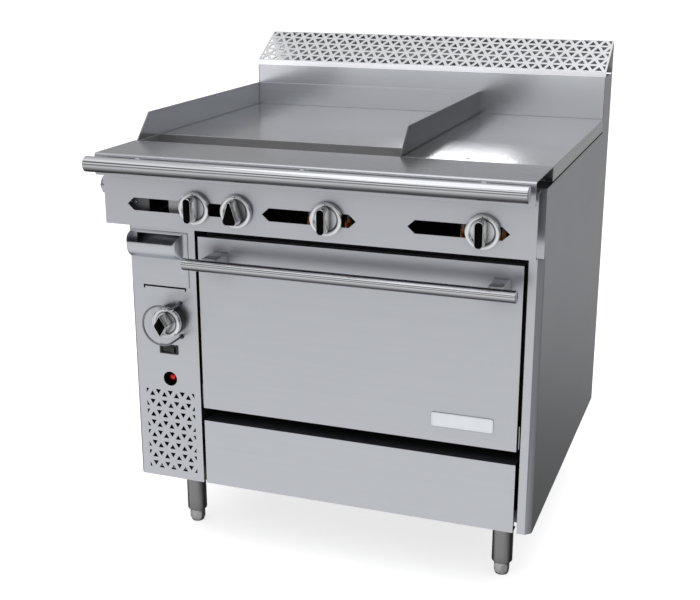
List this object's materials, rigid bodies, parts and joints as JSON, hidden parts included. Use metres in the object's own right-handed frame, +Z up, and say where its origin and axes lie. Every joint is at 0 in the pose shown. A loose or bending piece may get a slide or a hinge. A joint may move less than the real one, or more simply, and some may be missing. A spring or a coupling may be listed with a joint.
{
  "type": "commercial gas range",
  "caption": "Free-standing stainless gas range: griddle and lift-off hot top over a drop-front oven, with a control column, a guard bar, a vented backguard and adjustable legs.",
  "frame": {"origin": "on the floor, under the middle of the bounding box", "axes": "+Z up, -Y towards the person at the range, +X to that person's right"},
  "size_m": [0.9382, 0.9958, 1.11],
  "materials": {
    "panel_steel": "brushed stainless sheet, satin",
    "bright_steel": "polished stainless",
    "plate_steel": "ground steel plate",
    "knob_metal": "satin chromed die casting",
    "dark_steel": "dark mill steel",
    "enamel": "dark porcelain enamel",
    "cast_iron": "rough as cast",
    "insulation": "mineral wool",
    "black_plastic": "moulded black",
    "red_plastic": "moulded red",
    "plated_wire": "zinc or nickel plated",
    "brass": "machined"
  },
  "bodies": {
    "range_body": {"side_panel_left": "panel_steel", "side_panel_right": "panel_steel", "upper_side_left": "panel_steel", "upper_side_right": "panel_steel", "rear_panel": "panel_steel", "kick_panel": "panel_steel", "control_column_panel": "panel_steel", "control_panel": "panel_steel", "front_ledge": "panel_steel", "left_splash": "panel_steel", "divider_splash": "panel_steel", "back_splash": "panel_steel", "grease_trough": "panel_steel", "backguard": "panel_steel", "flue_cap": "panel_steel", "belly_bar": "bright_steel", "leg_front_left": "bright_steel", "leg_front_right": "bright_steel", "leg_rear_left": "bright_steel", "leg_rear_right": "bright_steel", "griddle_plate": "plate_steel", "base_pan": "dark_steel", "top_frame": "dark_steel", "oven_floor": "dark_steel", "manifold_pipe": "dark_steel", "oven_liner": "enamel", "griddle_burner": "cast_iron", "hot_top_burner": "cast_iron", "oven_burner": "cast_iron", "oven_insulation": "insulation", "oven_thermostat": "black_plastic", "switch_housing": "black_plastic", "pilot_cup": "black_plastic", "knob_guard": "plated_wire", "valve_griddle_left": "brass", "valve_griddle_pilot": "brass", "valve_griddle_right": "brass", "valve_hot_top": "brass"},
    "oven_door": {"door_skin": "panel_steel", "door_liner": "enamel", "badge": "bright_steel", "door_handle": "bright_steel", "handle_bracket_left": "bright_steel", "handle_bracket_right": "bright_steel", "door_hinge_left": "plated_wire", "door_hinge_right": "plated_wire"},
    "grease_drawer": {"grease_drawer": "panel_steel"},
    "hot_top": {"hot_top_plate": "plate_steel"},
    "oven_rack": {"oven_rack": "plated_wire"},
    "knob_griddle_left": {"knob_griddle_left": "knob_metal"},
    "knob_griddle_pilot": {"knob_griddle_pilot": "knob_metal"},
    "knob_griddle_right": {"knob_griddle_right": "knob_metal"},
    "knob_hot_top": {"knob_hot_top": "knob_metal"},
    "knob_oven": {"knob_oven": "knob_metal"},
    "switch_rocker": {"switch_rocker": "black_plastic"},
    "pilot_button": {"pilot_button": "red_plastic"},
    "foot_front_left": {"foot_front_left": "bright_steel"},
    "foot_front_right": {"foot_front_right": "bright_steel"},
    "foot_rear_left": {"foot_rear_left": "bright_steel"},
    "foot_rear_right": {"foot_rear_right": "bright_steel"}
  },
  "joints": [
    {"name": "oven_door_hinge", "type": "hinge", "parent": "range_body", "child": "oven_door", "pos_m": [0.0769, -0.31205, 0.352], "axis": [1, 0, 0], "range_deg": [0, 90], "stiffness_Nm_per_rad": 8, "springref_deg": -20.05},
    {"name": "grease_drawer_slide", "type": "slide", "parent": "range_body", "child": "grease_drawer", "axis": [0, -1, 0], "range_m": [0, 0.4]},
    {"name": "hot_top_lift", "type": "slide", "parent": "range_body", "child": "hot_top", "axis": [0, 0, 1], "range_m": [0, 0.15]},
    {"name": "oven_rack_slide", "type": "slide", "parent": "range_body", "child": "oven_rack", "axis": [0, -1, 0], "range_m": [0, 0.045]},
    {"name": "knob_griddle_left_turn", "type": "hinge", "parent": "range_body", "child": "knob_griddle_left", "pos_m": [-0.2371, -0.41905, 0.824], "axis": [0, -1, 0], "range_deg": [0, 90]},
    {"name": "knob_griddle_pilot_turn", "type": "hinge", "parent": "range_body", "child": "knob_griddle_pilot", "pos_m": [-0.1431, -0.41905, 0.824], "axis": [0, -1, 0], "range_deg": [0, 90]},
    {"name": "knob_griddle_right_turn", "type": "hinge", "parent": "range_body", "child": "knob_griddle_right", "pos_m": [0.0519, -0.41905, 0.824], "axis": [0, -1, 0], "range_deg": [0, 90]},
    {"name": "knob_hot_top_turn", "type": "hinge", "parent": "range_body", "child": "knob_hot_top", "pos_m": [0.3669, -0.41905, 0.824], "axis": [0, -1, 0], "range_deg": [0, 90]},
    {"name": "knob_oven_turn", "type": "hinge", "parent": "range_body", "child": "knob_oven", "pos_m": [-0.3486, -0.35405, 0.5463], "axis": [0, -1, 0], "range_deg": [0, 270]},
    {"name": "rocker_tilt", "type": "hinge", "parent": "range_body", "child": "switch_rocker", "pos_m": [-0.35935, -0.32005, 0.4745], "axis": [0, 0, 1], "range_deg": [0, 14]},
    {"name": "pilot_button_press", "type": "slide", "parent": "range_body", "child": "pilot_button", "axis": [0, 1, 0], "range_m": [0, 0.006], "stiffness_N_per_m": 400},
    {"name": "foot_front_left_extend", "type": "slide", "parent": "range_body", "child": "foot_front_left", "axis": [0, 0, -1], "range_m": [0, 0.035]},
    {"name": "foot_front_right_extend", "type": "slide", "parent": "range_body", "child": "foot_front_right", "axis": [0, 0, -1], "range_m": [0, 0.035]},
    {"name": "foot_rear_left_extend", "type": "slide", "parent": "range_body", "child": "foot_rear_left", "axis": [0, 0, -1], "range_m": [0, 0.035]},
    {"name": "foot_rear_right_extend", "type": "slide", "parent": "range_body", "child": "foot_rear_right", "axis": [0, 0, -1], "range_m": [0, 0.035]}
  ]
}
